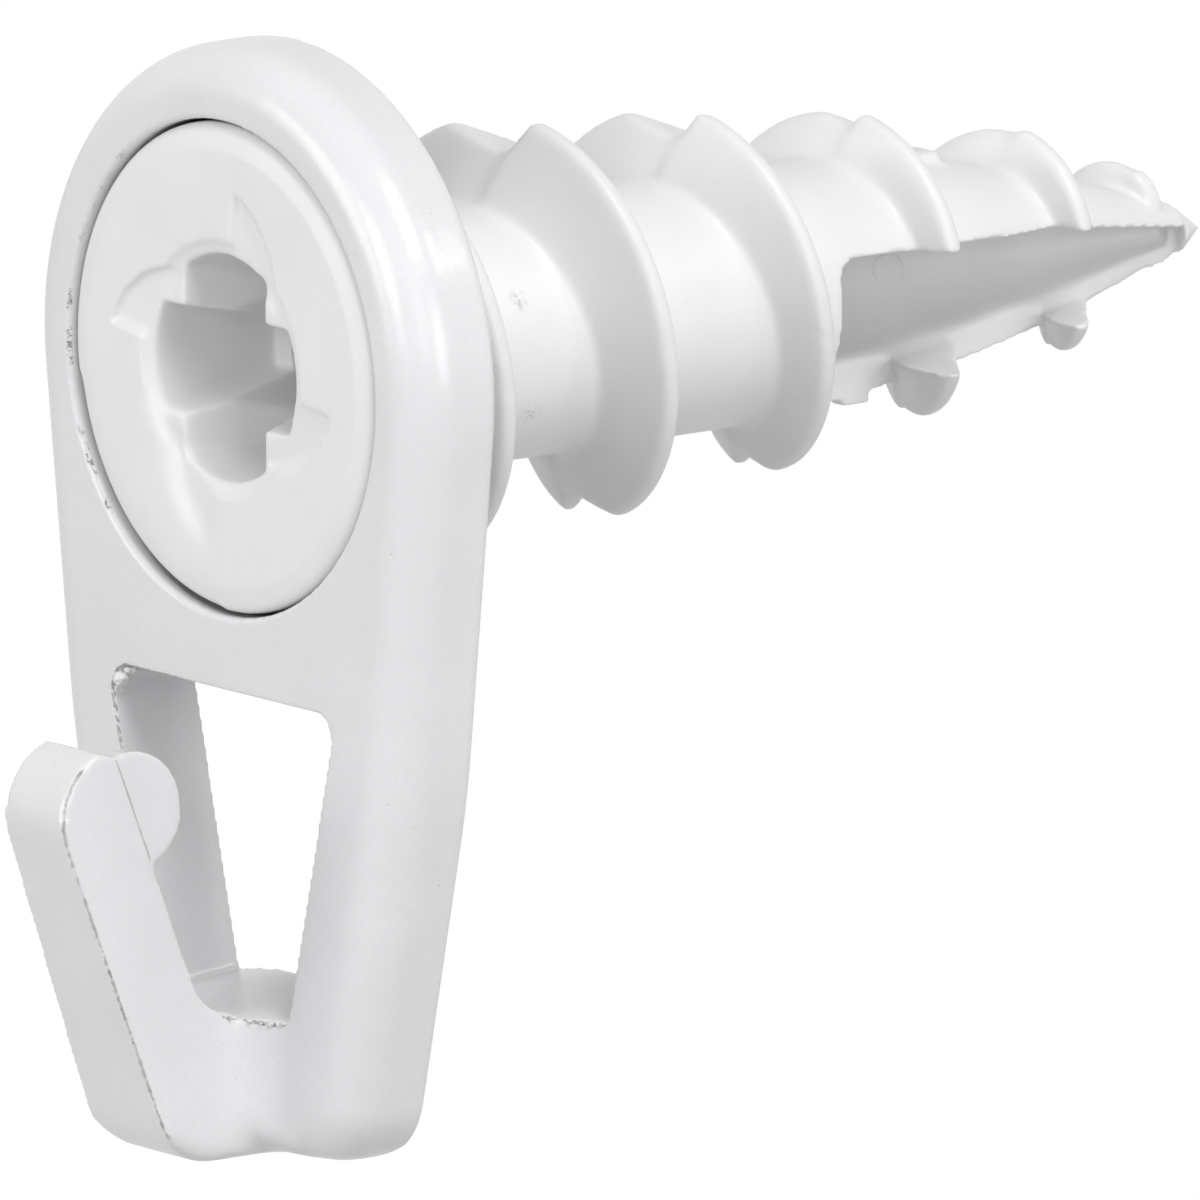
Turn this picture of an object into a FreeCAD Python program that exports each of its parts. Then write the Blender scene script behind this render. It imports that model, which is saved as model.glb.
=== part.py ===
import FreeCAD, Part
import math
import os

# Picture hook for plasterboard: a cast hook body that hangs on the head of a
# self-drilling wall anchor. Millimetres. The origin is on the anchor's axis at
# the wall, where the back of the hook body bears. +Y runs into the wall, +Z is
# up, and the hook opens towards -Y.

# Hook body: head ring
PLATE_DEPTH = 3.3
HEAD_SEAT_RADIUS = 8.0
HEAD_SEAT_DEPTH = 1.9
RIM_WIDTH = 2.35
SHOULDER_RADIUS = 1.6
BACK_EDGE_CHAMFER = 0.3
SEAT_LIP_CHAMFER = 0.1

# Hook body: outline below the ring
UPPER_SIDE_ANGLE = 6.8
LOWER_SIDE_ANGLE = 13.0
KNEE_HEIGHT = -13.0
KNEE_RADIUS = 30.0
BOTTOM_HEIGHT = -25.25
BOTTOM_CORNER_RADIUS = 2.5

# Hook body: window and the seat that the hanger lies on
WINDOW_TOP_HEIGHT = -10.4
WINDOW_TOP_HALF_WIDTH = 5.95
WINDOW_SIDE_ANGLE = 14.0
WINDOW_CORNER_RADIUS = 0.8
SEAT_FRONT_HEIGHT = -20.5
SEAT_RISE = 0.45
SEAT_CROWN = 0.4
SEAT_FRONT_CROWN = 0.1

# Hook body: arm and retaining nub
ARM_HALF_WIDTH_TIP = 1.46
ARM_HALF_WIDTH_ROOT = 2.05
ARM_LEAN_ANGLE = 20.0
ARM_THICKNESS = 2.87
ARM_TOP_HEIGHT = -11.6
ARM_TOP_REACH = 5.34
ARM_HEEL_RADIUS = 2.5
ARM_CROOK_RADIUS = 1.7
ARM_ROOT_FILLET = 1.7
TIP_APEX_SETBACK = 0.54
TIP_APEX_RISE = 0.27
TIP_MIDDLE_SETBACK = 2.2
TIP_MIDDLE_DROP = 0.39
TIP_ROUND_DROP = 2.0
TIP_BACK_DROP = 0.12
NUB_RADIUS = 1.81
NUB_DRAFT_ANGLE = 5.9
NUB_DROP = 2.1
NUB_SIDE_STEP = 0.12

# Wall anchor: head. Lengths along the anchor are taken from the head's front.
HEAD_RADIAL_CLEARANCE = 0.1
HEAD_AXIAL_CLEARANCE = 0.05
HEAD_BEVEL_WIDTH = 0.8
HEAD_BEVEL_DROP = 0.12
HEAD_EDGE_ROUND = 0.2
NECK_CONE_RADIUS = 6.2
NECK_CONE_LENGTH = 1.9

# Wall anchor: core and tip
ANCHOR_LENGTH = 40.0
CORE_RADIUS = 4.23
CORE_STRAIGHT_END = 20.0
POINT_LENGTH = 1.4
POINT_RADIUS = 0.965
OGIVE_STEPS = 4

# Wall anchor: hollow
BORE_RADIUS = 2.2
CHANNEL_START = 23.2
CHANNEL_START_RADIUS = 2.8
CHANNEL_END_WALL = 1.3
CHANNEL_END_RADIUS = 0.4
CHANNEL_CURVE_EXPONENT = 1.55
CHANNEL_STEPS = 4

# Wall anchor: thread
THREAD_PITCH = 6.828
THREAD_TIP_PITCH = 5.1
THREAD_TIP_TURN = 3.0
THREAD_PHASE_REACH = 11.456
THREAD_START_TURN = -1.1
THREAD_END_TURN = 4.15
THREAD_RUN_IN = 0.15
THREAD_RUN_OUT = 0.3
CREST_RADIUS = 7.03
CREST_LINEAR_TAPER = 0.028
CREST_CUBIC_TAPER = 0.000068
CREST_OVALITY = 0.33
CREST_TIP_OFFSET = 0.24
MOULD_MISMATCH = 0.12
CREST_HALF_WIDTH = 0.24
FRONT_FLANK_SLOPE = 0.68
FRONT_FLANK_TIP_SLOPE = 0.25
BACK_FLANK_SLOPE = 0.56
BACK_FLANK_TIP_SLOPE = 0.7
THREAD_SWAY = 0.75
SWAY_CENTRE_ANGLE = 125.0
SWAY_HALF_ANGLE = 120.0
SWAY_FIRST_TURN = 1.6
SWAY_GROWTH_TURNS = 0.6
THREAD_INNER_RADIUS = 2.4
THREAD_TIP_INNER_RADIUS = 0.5
SECTIONS_PER_TURN = 16
THREAD_CLEARANCE = 0.1

# Wall anchor: parting notches in the thread and pads on the parting line
PARTING_ANGLE = 8.0
NOTCH_ROOT_RADIUS = 6.45
NOTCH_DRAFT_ANGLE = 2.85
NOTCH_STEEP_ANGLE = 18.0
NOTCH_GENTLE_ANGLE = 3.5
NOTCH_HEIGHT = 2.0
NOTCH_LENGTH = 26.0
PAD_HEIGHT = 0.28
PAD_HALF_WIDTH = 0.7
PAD_THICKNESS = 1.5
TOP_PAD_START = 27.3
TOP_PAD_END = 28.8
BOTTOM_PAD_START = 25.2
BOTTOM_PAD_END = 26.3

# Wall anchor: gouge
GOUGE_START = 22.0
GOUGE_END_WALL = 1.1
GOUGE_LIP_HEIGHT = 1.5
GOUGE_LIP_FALL_ANGLE = 1.4
GOUGE_LIP_KNEE = 32.0
GOUGE_LIP_TIP_ANGLE = 8.5
GOUGE_CORNER_RADIUS = 0.8
SLOT_FLOOR_START = -2.75
SLOT_FLOOR_FALL_ANGLE = 7.5
SLOT_FLOOR_KNEE = 27.5

# Wall anchor: driver recess and its lead-in ramps
RECESS_RADIUS = 3.72
RECESS_FLOOR_RADIUS = 2.95
RECESS_UPRIGHT_HALF_WIDTH = 2.15
RECESS_LEVEL_HALF_WIDTH = 1.75
RECESS_FLOOR_HALF_WIDTH = 0.9
RECESS_DEPTH = 4.5
MOUTH_STEP_RADIUS = 4.1
MOUTH_STEP_DEPTH = 0.18
RAMP_COUNT = 4
RAMP_DEPTH = 0.3
RAMP_START_ANGLE = 126.0
RAMP_MIDDLE_ANGLE = 150.0
RAMP_END_ANGLE = 173.0
RAMP_START_RADIUS = 3.55
RAMP_MIDDLE_RADIUS = 4.85
RAMP_OUTER_RADIUS = 5.85
RAMP_FLUSH_DROP = 2.0

# How far a cutter runs past the faces that it cuts, and two fine allowances
OVERRUN = 1.0
HEEL_ALLOWANCE = 0.05
MATCH_TOLERANCE = 0.02

# Values that follow from the ones above
FRONT_Y = -PLATE_DEPTH
RIM_RADIUS = HEAD_SEAT_RADIUS + RIM_WIDTH
HEAD_RADIUS = HEAD_SEAT_RADIUS - HEAD_RADIAL_CLEARANCE
HEAD_THICKNESS = HEAD_SEAT_DEPTH - HEAD_AXIAL_CLEARANCE
BODY_BORE_RADIUS = CREST_RADIUS + CREST_OVALITY + THREAD_CLEARANCE
POINT_START = ANCHOR_LENGTH - POINT_LENGTH
CHANNEL_END = ANCHOR_LENGTH - CHANNEL_END_WALL
GOUGE_END = ANCHOR_LENGTH - GOUGE_END_WALL
OGIVE_RUN = POINT_START - CORE_STRAIGHT_END
OGIVE_DROP = CORE_RADIUS - POINT_RADIUS
OGIVE_RADIUS = (OGIVE_RUN ** 2 + OGIVE_DROP ** 2) / (2 * OGIVE_DROP)


def vec(x, y, z):
    return FreeCAD.Vector(x, y, z)


AXIS = vec(0, 1, 0)
CENTRE = vec(0, 0, 0)


def face_of(points):
    """Flat face inside a closed polygon."""
    return Part.Face(Part.makePolygon(points + [points[0]]))


def cylinder(radius, y_low, y_high):
    return Part.makeCylinder(radius, y_high - y_low, vec(0, y_low, 0), AXIS)


def edges_where(shape, test):
    """Edges whose every sampled point passes the test."""
    found = []
    for edge in shape.Edges:
        points = edge.discretize(5)
        if all(test(point) for point in points):
            found.append(edge)
    return found


def close(a, b):
    return abs(a - b) < MATCH_TOLERANCE


# Hook body


def side_half_width(z):
    """Half width of the plate's straight sides, before corners are rounded."""
    upper = math.radians(UPPER_SIDE_ANGLE)
    lower = math.radians(LOWER_SIDE_ANGLE)
    tangent_x = RIM_RADIUS * math.cos(upper)
    tangent_z = -RIM_RADIUS * math.sin(upper)
    knee_x = tangent_x - (tangent_z - KNEE_HEIGHT) * math.tan(upper)
    if z > KNEE_HEIGHT:
        return tangent_x - (tangent_z - z) * math.tan(upper)
    return knee_x - (KNEE_HEIGHT - z) * math.tan(lower)


def plate_blank():
    """Teardrop plate with its rounded front shoulder and bevelled back edge."""
    upper = math.radians(UPPER_SIDE_ANGLE)
    tangent_x = RIM_RADIUS * math.cos(upper)
    tangent_z = -RIM_RADIUS * math.sin(upper)
    knee_x = side_half_width(KNEE_HEIGHT)
    bottom_x = side_half_width(BOTTOM_HEIGHT)
    right = [
        vec(bottom_x, 0, BOTTOM_HEIGHT),
        vec(knee_x, 0, KNEE_HEIGHT),
        vec(tangent_x, 0, tangent_z),
    ]
    left = [vec(-point.x, 0, point.z) for point in reversed(right)]
    edges = [
        Part.makeLine(right[0], right[1]),
        Part.makeLine(right[1], right[2]),
        Part.Arc(right[2], vec(0, 0, RIM_RADIUS), left[0]).toShape(),
        Part.makeLine(left[0], left[1]),
        Part.makeLine(left[1], left[2]),
        Part.makeLine(left[2], right[0]),
    ]
    plate = Part.Face(Part.Wire(edges)).extrude(vec(0, -PLATE_DEPTH, 0))
    knees = edges_where(plate, lambda p: close(abs(p.x), knee_x) and close(p.z, KNEE_HEIGHT))
    plate = plate.makeFillet(KNEE_RADIUS, knees)
    corners = edges_where(plate, lambda p: close(abs(p.x), bottom_x) and close(p.z, BOTTOM_HEIGHT))
    plate = plate.makeFillet(BOTTOM_CORNER_RADIUS, corners)
    front = edges_where(plate, lambda p: close(p.y, FRONT_Y))
    plate = plate.makeFillet(SHOULDER_RADIUS, front)
    back = edges_where(plate, lambda p: close(p.y, 0))
    return plate.makeChamfer(BACK_EDGE_CHAMFER, back)


def seat_profile(y, seat_height, crown):
    """Closed outline above the hanger seat, crowned across its width."""
    half = WINDOW_TOP_HALF_WIDTH
    edge_z = seat_height - crown
    top_z = WINDOW_TOP_HEIGHT + OVERRUN
    arc = Part.Arc(vec(-half, y, edge_z), vec(0, y, seat_height), vec(half, y, edge_z)).toShape()
    rest = Part.makePolygon([
        vec(half, y, edge_z),
        vec(half, y, top_z),
        vec(-half, y, top_z),
        vec(-half, y, edge_z),
    ])
    return Part.Wire([arc] + rest.Edges)


def window_cutter():
    """Trapezoid window whose floor is the crowned seat, rising to the wall."""
    slope = math.tan(math.radians(WINDOW_SIDE_ANGLE))
    floor_z = SEAT_FRONT_HEIGHT - 2 * SEAT_CROWN
    floor_x = WINDOW_TOP_HALF_WIDTH - slope * (WINDOW_TOP_HEIGHT - floor_z)
    face = face_of([
        vec(-floor_x, OVERRUN, floor_z),
        vec(floor_x, OVERRUN, floor_z),
        vec(WINDOW_TOP_HALF_WIDTH, OVERRUN, WINDOW_TOP_HEIGHT),
        vec(-WINDOW_TOP_HALF_WIDTH, OVERRUN, WINDOW_TOP_HEIGHT),
    ])
    sides = face.extrude(vec(0, -PLATE_DEPTH - 2 * OVERRUN, 0))

    def at_top_corner(p):
        return close(p.z, WINDOW_TOP_HEIGHT) and close(abs(p.x), WINDOW_TOP_HALF_WIDTH)

    corners = edges_where(sides, at_top_corner)
    sides = sides.makeFillet(WINDOW_CORNER_RADIUS, corners)
    rise_per_mm = SEAT_RISE / PLATE_DEPTH
    back_height = SEAT_FRONT_HEIGHT + SEAT_RISE + rise_per_mm * OVERRUN
    front_height = SEAT_FRONT_HEIGHT - rise_per_mm * OVERRUN
    widening = (WINDOW_TOP_HALF_WIDTH / floor_x) ** 2
    above_seat = Part.makeLoft([
        seat_profile(OVERRUN, back_height, SEAT_CROWN * widening),
        seat_profile(FRONT_Y - OVERRUN, front_height, SEAT_FRONT_CROWN * widening),
    ], True, True)
    return sides.common(above_seat)


def arm_point(setback, rise):
    """Point beside the arm's tip: setback to its front, rise along its lean."""
    lean = math.radians(ARM_LEAN_ANGLE)
    y = FRONT_Y - ARM_TOP_REACH - setback * math.cos(lean) - rise * math.sin(lean)
    z = ARM_TOP_HEIGHT - setback * math.sin(lean) + rise * math.cos(lean)
    return vec(0, y, z)


def arm_side_profile():
    """Side outline of the arm with its rounded tip, as a wide slab."""
    lean = math.cos(math.radians(ARM_LEAN_ANGLE))
    front_top = arm_point(ARM_THICKNESS, 0)
    crook = arm_point(0, -(ARM_TOP_HEIGHT - SEAT_FRONT_HEIGHT) / lean)
    heel = arm_point(ARM_THICKNESS, -(front_top.z - BOTTOM_HEIGHT) / lean)
    round_start = arm_point(ARM_THICKNESS, -TIP_ROUND_DROP)
    apex = arm_point(TIP_APEX_SETBACK, TIP_APEX_RISE)
    tip_round = Part.Arc(apex, arm_point(TIP_MIDDLE_SETBACK, -TIP_MIDDLE_DROP), round_start).toShape()
    inside_y = FRONT_Y + PLATE_DEPTH / 2
    rest = Part.makePolygon([
        round_start,
        heel,
        vec(0, inside_y, BOTTOM_HEIGHT),
        vec(0, inside_y, SEAT_FRONT_HEIGHT),
        crook,
        arm_point(0, -TIP_BACK_DROP),
        apex,
    ])
    face = Part.Face(Part.Wire([tip_round] + rest.Edges))
    half = 2 * ARM_HALF_WIDTH_ROOT
    face.translate(vec(-half, 0, 0))
    slab = face.extrude(vec(2 * half, 0, 0))

    def beside(corner):
        return lambda p: close(p.y, corner.y) and close(p.z, corner.z)

    slab = slab.makeFillet(ARM_HEEL_RADIUS, edges_where(slab, beside(heel)))
    return slab.makeFillet(ARM_CROOK_RADIUS, edges_where(slab, beside(crook)))


def arm_half_width(z):
    """Half width of the arm, which tapers from its root to its tip."""
    share = (z - BOTTOM_HEIGHT) / (ARM_TOP_HEIGHT - BOTTOM_HEIGHT)
    return ARM_HALF_WIDTH_ROOT + (ARM_HALF_WIDTH_TIP - ARM_HALF_WIDTH_ROOT) * share


def arm_taper(side_step=0.0):
    """Wedge that narrows the arm from its root to its tip."""
    top_z = ARM_TOP_HEIGHT + OVERRUN
    tip = arm_half_width(top_z) - side_step
    root = ARM_HALF_WIDTH_ROOT - side_step
    face = face_of([
        vec(-root, 0, BOTTOM_HEIGHT),
        vec(root, 0, BOTTOM_HEIGHT),
        vec(tip, 0, top_z),
        vec(-tip, 0, top_z),
    ])
    return face.extrude(vec(0, -PLATE_DEPTH - ARM_TOP_REACH - ARM_THICKNESS - OVERRUN, 0))


def flare_outline(z):
    """Plan outline of the arm's root with a concave flare on each side."""
    half = arm_half_width(z)
    wide = half + ARM_ROOT_FILLET
    inside_y = FRONT_Y + PLATE_DEPTH / 2
    front_y = FRONT_Y - ARM_ROOT_FILLET
    near = ARM_ROOT_FILLET * (1 - math.sqrt(0.5))
    right = Part.Arc(
        vec(half, front_y, z),
        vec(half + near, FRONT_Y - near, z),
        vec(wide, FRONT_Y, z),
    ).toShape()
    left = Part.Arc(
        vec(-wide, FRONT_Y, z),
        vec(-half - near, FRONT_Y - near, z),
        vec(-half, front_y, z),
    ).toShape()
    back = Part.makePolygon([
        vec(wide, FRONT_Y, z),
        vec(wide, inside_y, z),
        vec(-wide, inside_y, z),
        vec(-wide, FRONT_Y, z),
    ])
    front = Part.makeLine(vec(-half, front_y, z), vec(half, front_y, z))
    return Part.Wire([right] + back.Edges + [left, front])


def arm_flare():
    """Concave blend between the arm's sides and the plate's front."""
    flare = Part.makeLoft([flare_outline(BOTTOM_HEIGHT), flare_outline(SEAT_FRONT_HEIGHT)], True, True)
    front_y = FRONT_Y - ARM_ROOT_FILLET
    heel = edges_where(flare, lambda p: close(p.y, front_y) and close(p.z, BOTTOM_HEIGHT))
    return flare.makeFillet(ARM_ROOT_FILLET + SHOULDER_RADIUS - HEEL_ALLOWANCE, heel)


def nub():
    """Half-round bump behind the arm's tip that keeps the hanger in."""
    reach = ARM_HALF_WIDTH_ROOT
    draft = reach * math.tan(math.radians(NUB_DRAFT_ANGLE))
    start = arm_point(0, -NUB_DROP) + vec(-reach, 0, 0)
    disc = Part.makeCone(NUB_RADIUS - draft, NUB_RADIUS + draft, 2 * reach, start, vec(1, 0, 0))
    return disc.common(arm_taper(NUB_SIDE_STEP))


def hook_body():
    arm = arm_side_profile().common(arm_taper())
    body = plate_blank().fuse(arm)
    body = body.fuse(arm_flare())
    body = body.cut(window_cutter())
    body = body.fuse(nub())
    body = body.cut(cylinder(BODY_BORE_RADIUS, FRONT_Y - OVERRUN, OVERRUN))
    body = body.cut(cylinder(HEAD_SEAT_RADIUS, FRONT_Y - OVERRUN, FRONT_Y + HEAD_SEAT_DEPTH))
    lip_cone = Part.makeCone(
        HEAD_SEAT_RADIUS + SEAT_LIP_CHAMFER,
        HEAD_SEAT_RADIUS,
        SEAT_LIP_CHAMFER,
        vec(0, FRONT_Y, 0),
        AXIS,
    )
    return body.cut(lip_cone)


# Wall anchor


def at_reach(reach):
    """Model Y of a length taken from the front of the head."""
    return FRONT_Y + reach


def meridian(radius, reach):
    """Point on the meridian half-plane that revolves about the axis."""
    return vec(0, at_reach(reach), radius)


def ogive_radius(reach):
    """Radius of the core where it rounds in towards the tip."""
    run = max(0.0, reach - CORE_STRAIGHT_END)
    return CORE_RADIUS - OGIVE_RADIUS + math.sqrt(OGIVE_RADIUS ** 2 - run ** 2)


def core():
    """Head, conical neck, straight core, ogive and point as one revolve."""
    outline = [
        meridian(0, 0),
        meridian(HEAD_RADIUS - HEAD_BEVEL_WIDTH, 0),
        meridian(HEAD_RADIUS - HEAD_EDGE_ROUND, HEAD_BEVEL_DROP),
        meridian(HEAD_RADIUS, HEAD_BEVEL_DROP + HEAD_EDGE_ROUND),
        meridian(HEAD_RADIUS, HEAD_THICKNESS),
        meridian(NECK_CONE_RADIUS, HEAD_THICKNESS),
        meridian(CORE_RADIUS, HEAD_THICKNESS + NECK_CONE_LENGTH),
    ]
    for step in range(OGIVE_STEPS + 1):
        reach = CORE_STRAIGHT_END + OGIVE_RUN * step / OGIVE_STEPS
        outline.append(meridian(ogive_radius(reach), reach))
    outline.append(meridian(0, ANCHOR_LENGTH))
    return face_of(outline).revolve(CENTRE, AXIS, 360)


def thread_sway(turn):
    """How far the flights beside the gouge stand back towards the head."""
    growth = min(1.0, max(0.0, (turn - SWAY_FIRST_TURN) / SWAY_GROWTH_TURNS))
    off_centre = (turn * 360) % 360 - SWAY_CENTRE_ANGLE
    if abs(off_centre) > SWAY_HALF_ANGLE:
        return 0.0
    return THREAD_SWAY * growth * math.cos(math.pi / 2 * off_centre / SWAY_HALF_ANGLE) ** 2


def thread_reach(turn):
    """Length along the axis of the crest's middle after so many turns."""
    steady = min(turn, THREAD_TIP_TURN)
    tip = max(0.0, turn - THREAD_TIP_TURN)
    even = THREAD_PHASE_REACH + THREAD_PITCH * steady + THREAD_TIP_PITCH * tip
    return even - thread_sway(turn)


def crest_radius(reach, turn, half):
    """Crest radius: it falls ever faster to the tip and is a little oval.

    The two mould halves stand a little apart: half is +1 for the one on the
    +X side and -1 for the other.
    """
    level = math.cos(2 * math.pi * turn)
    even = CREST_RADIUS - CREST_LINEAR_TAPER * reach - CREST_CUBIC_TAPER * reach ** 3
    oval = CREST_OVALITY * level ** 2 + MOULD_MISMATCH * level * half
    lowered = CREST_TIP_OFFSET * (reach / ANCHOR_LENGTH) ** 2 * (1 - level)
    return even + oval - lowered


def towards_tip(reach, first, last):
    """Value that goes evenly from first to last along the anchor."""
    return first + (last - first) * reach / ANCHOR_LENGTH


def thread_section(turn, half):
    """Trapezoid tooth outline on the meridian plane of one turn value."""
    reach = thread_reach(turn)
    full = crest_radius(reach, turn, half)
    run_in = (turn - THREAD_START_TURN) / THREAD_RUN_IN
    run_out = (THREAD_END_TURN - turn) / THREAD_RUN_OUT
    presence = max(0.0, min(1.0, run_in, run_out))
    sunk = ogive_radius(reach) - CREST_HALF_WIDTH
    outer = sunk + (full - sunk) * math.sin(presence * math.pi / 2)
    to_tip = max(0.0, (reach - GOUGE_START) / (ANCHOR_LENGTH - GOUGE_START))
    inner = THREAD_INNER_RADIUS + (THREAD_TIP_INNER_RADIUS - THREAD_INNER_RADIUS) * to_tip
    front = CREST_HALF_WIDTH + (outer - inner) * towards_tip(reach, FRONT_FLANK_SLOPE, FRONT_FLANK_TIP_SLOPE)
    back = CREST_HALF_WIDTH + (outer - inner) * towards_tip(reach, BACK_FLANK_SLOPE, BACK_FLANK_TIP_SLOPE)
    angle = 2 * math.pi * turn
    outline = [
        (inner, reach - front),
        (outer, reach - CREST_HALF_WIDTH),
        (outer, reach + CREST_HALF_WIDTH),
        (inner, reach + back),
    ]
    points = []
    for radius, along in outline:
        points.append(vec(radius * math.sin(angle), at_reach(along), radius * math.cos(angle)))
    return Part.makePolygon(points + [points[0]])


def thread_piece(first_turn, last_turn):
    """One stretch of the thread, inside one mould half, lofted smoothly."""
    turns = last_turn - first_turn
    count = max(2, math.ceil(turns * SECTIONS_PER_TURN))
    middle_angle = (first_turn + last_turn) / 2 * 360 - PARTING_ANGLE
    half = 1 if middle_angle % 360 < 180 else -1
    sections = [thread_section(first_turn + turns * index / count, half) for index in range(count + 1)]
    return Part.makeLoft(sections, True, False)


def thread():
    """Right-hand tapering thread made of half turns between parting lines."""
    ends = [THREAD_START_TURN]
    parting = PARTING_ANGLE / 360 + math.ceil(2 * (THREAD_START_TURN - PARTING_ANGLE / 360)) / 2
    while parting < THREAD_END_TURN:
        ends.append(parting)
        parting += 0.5
    ends.append(THREAD_END_TURN)
    pieces = [thread_piece(first, last) for first, last in zip(ends, ends[1:])]
    return pieces[0].fuse(pieces[1:])


def parting_notch():
    """Uneven V groove along the parting line, running out by the taper."""
    steep = math.radians(NOTCH_STEEP_ANGLE)
    gentle = math.radians(90 - NOTCH_GENTLE_ANGLE)

    def section(reach):
        root = NOTCH_ROOT_RADIUS - reach * math.tan(math.radians(NOTCH_DRAFT_ANGLE))
        y = at_reach(reach)
        apex = vec(0, y, root)
        steep_top = vec(NOTCH_HEIGHT * math.tan(steep), y, root + NOTCH_HEIGHT)
        gentle_top = vec(-NOTCH_HEIGHT * math.tan(gentle), y, root + NOTCH_HEIGHT)
        return Part.makePolygon([apex, steep_top, gentle_top, apex])

    notch = Part.makeLoft([section(HEAD_THICKNESS + OVERRUN), section(NOTCH_LENGTH)], True, True)
    notch.rotate(CENTRE, AXIS, PARTING_ANGLE)
    return notch


def pad(start, end, side):
    """Small raised block on the parting line, above or below the axis."""
    foot = ogive_radius((start + end) / 2) + PAD_HEIGHT - PAD_THICKNESS
    corner = vec(-PAD_HALF_WIDTH, at_reach(start), foot)
    block = Part.makeBox(2 * PAD_HALF_WIDTH, end - start, PAD_THICKNESS, corner)
    if side < 0:
        block.rotate(CENTRE, AXIS, 180)
    return block


def channel_radius(share):
    """Radius of the channel, which narrows ever faster towards its end."""
    narrowing = CHANNEL_START_RADIUS - CHANNEL_END_RADIUS
    return CHANNEL_START_RADIUS - narrowing * share ** CHANNEL_CURVE_EXPONENT


def hollow():
    """Bore behind the recess and the channel that opens into the gouge."""
    outline = [
        meridian(0, CHANNEL_END),
        meridian(0, MOUTH_STEP_DEPTH),
        meridian(BORE_RADIUS, MOUTH_STEP_DEPTH),
        meridian(BORE_RADIUS, CHANNEL_START),
    ]
    for step in range(CHANNEL_STEPS + 1):
        share = step / CHANNEL_STEPS
        reach = CHANNEL_START + (CHANNEL_END - CHANNEL_START) * share
        outline.append(meridian(channel_radius(share), reach))
    return face_of(outline).revolve(CENTRE, AXIS, 360)


def gouge_cutter(floor_points):
    """Block in front of the axis plane, from the given floor up to the hood."""
    knee_fall = (GOUGE_LIP_KNEE - GOUGE_START) * math.tan(math.radians(GOUGE_LIP_FALL_ANGLE))
    tip_fall = (GOUGE_END - GOUGE_LIP_KNEE) * math.tan(math.radians(GOUGE_LIP_TIP_ANGLE))
    points = [
        vec(0, at_reach(GOUGE_START), GOUGE_LIP_HEIGHT),
        vec(0, at_reach(GOUGE_LIP_KNEE), GOUGE_LIP_HEIGHT - knee_fall),
        vec(0, at_reach(GOUGE_END), GOUGE_LIP_HEIGHT - knee_fall - tip_fall),
    ]
    block = face_of(points + floor_points).extrude(vec(2 * CREST_RADIUS, 0, 0))
    hood = edges_where(block, lambda p: close(p.y, at_reach(GOUGE_START)) and close(p.z, GOUGE_LIP_HEIGHT))
    return block.makeFillet(GOUGE_CORNER_RADIUS, hood)


def rim_cutter():
    """Takes the front half of the core away below the hood."""
    low = -CORE_RADIUS - OVERRUN
    return gouge_cutter([
        vec(0, at_reach(GOUGE_END), low),
        vec(0, at_reach(GOUGE_START), low),
    ])


def slot_cutter():
    """Takes the thread away between the hood and the channel's lowest line."""
    fall = math.tan(math.radians(SLOT_FLOOR_FALL_ANGLE))
    end_z = SLOT_FLOOR_START + (GOUGE_END - SLOT_FLOOR_KNEE) * fall
    return gouge_cutter([
        vec(0, at_reach(GOUGE_END), end_z),
        vec(0, at_reach(SLOT_FLOOR_KNEE), SLOT_FLOOR_START),
        vec(0, at_reach(GOUGE_START), SLOT_FLOOR_START),
    ])


def recess_wings():
    """Cross of two tapering slots inside a tapering round recess."""
    wings = []
    for turned, mouth_half_width in ((0, RECESS_LEVEL_HALF_WIDTH), (90, RECESS_UPRIGHT_HALF_WIDTH)):
        sections = []
        for length, half, reach in (
            (RECESS_RADIUS, mouth_half_width, 0),
            (RECESS_FLOOR_RADIUS, RECESS_FLOOR_HALF_WIDTH, RECESS_DEPTH),
        ):
            y = at_reach(reach)
            low = [vec(-length, y, -half), vec(length, y, -half)]
            high = [vec(length, y, half), vec(-length, y, half)]
            corners = low + high
            sections.append(Part.makePolygon(corners + [corners[0]]))
        wing = Part.makeLoft(sections, True, True)
        wing.rotate(CENTRE, AXIS, turned)
        wings.append(wing)
    round_limit = Part.makeCone(RECESS_RADIUS, RECESS_FLOOR_RADIUS, RECESS_DEPTH, vec(0, FRONT_Y, 0), AXIS)
    return wings[0].fuse(wings[1]).common(round_limit)


def on_face(radius, angle, reach):
    """Point on the head's face, the angle taken from +X towards +Z."""
    turn = math.radians(angle)
    return vec(radius * math.cos(turn), at_reach(reach), radius * math.sin(turn))


def ramp(number):
    """Lead-in pocket between a spiral step and a radial step, floor tilted."""
    start = on_face(RAMP_START_RADIUS, RAMP_START_ANGLE, 0)
    middle = on_face(RAMP_MIDDLE_RADIUS, RAMP_MIDDLE_ANGLE, 0)
    end = on_face(RAMP_OUTER_RADIUS, RAMP_END_ANGLE, 0)
    inner = on_face(RAMP_START_RADIUS, RAMP_END_ANGLE, 0)
    spiral = Part.Arc(start, middle, end).toShape()
    wire = Part.Wire([spiral] + Part.makePolygon([end, inner, start]).Edges)
    pocket = Part.Face(wire).extrude(vec(0, RAMP_DEPTH, 0))
    tilt = face_of([
        vec(-HEAD_RADIUS, FRONT_Y, end.z - RAMP_FLUSH_DROP),
        vec(-HEAD_RADIUS, FRONT_Y, start.z),
        vec(-HEAD_RADIUS, FRONT_Y + RAMP_DEPTH, start.z),
    ]).extrude(vec(HEAD_RADIUS, 0, 0))
    pocket = pocket.common(tilt)
    pocket.rotate(CENTRE, AXIS, 360 / RAMP_COUNT * number)
    return pocket


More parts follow.
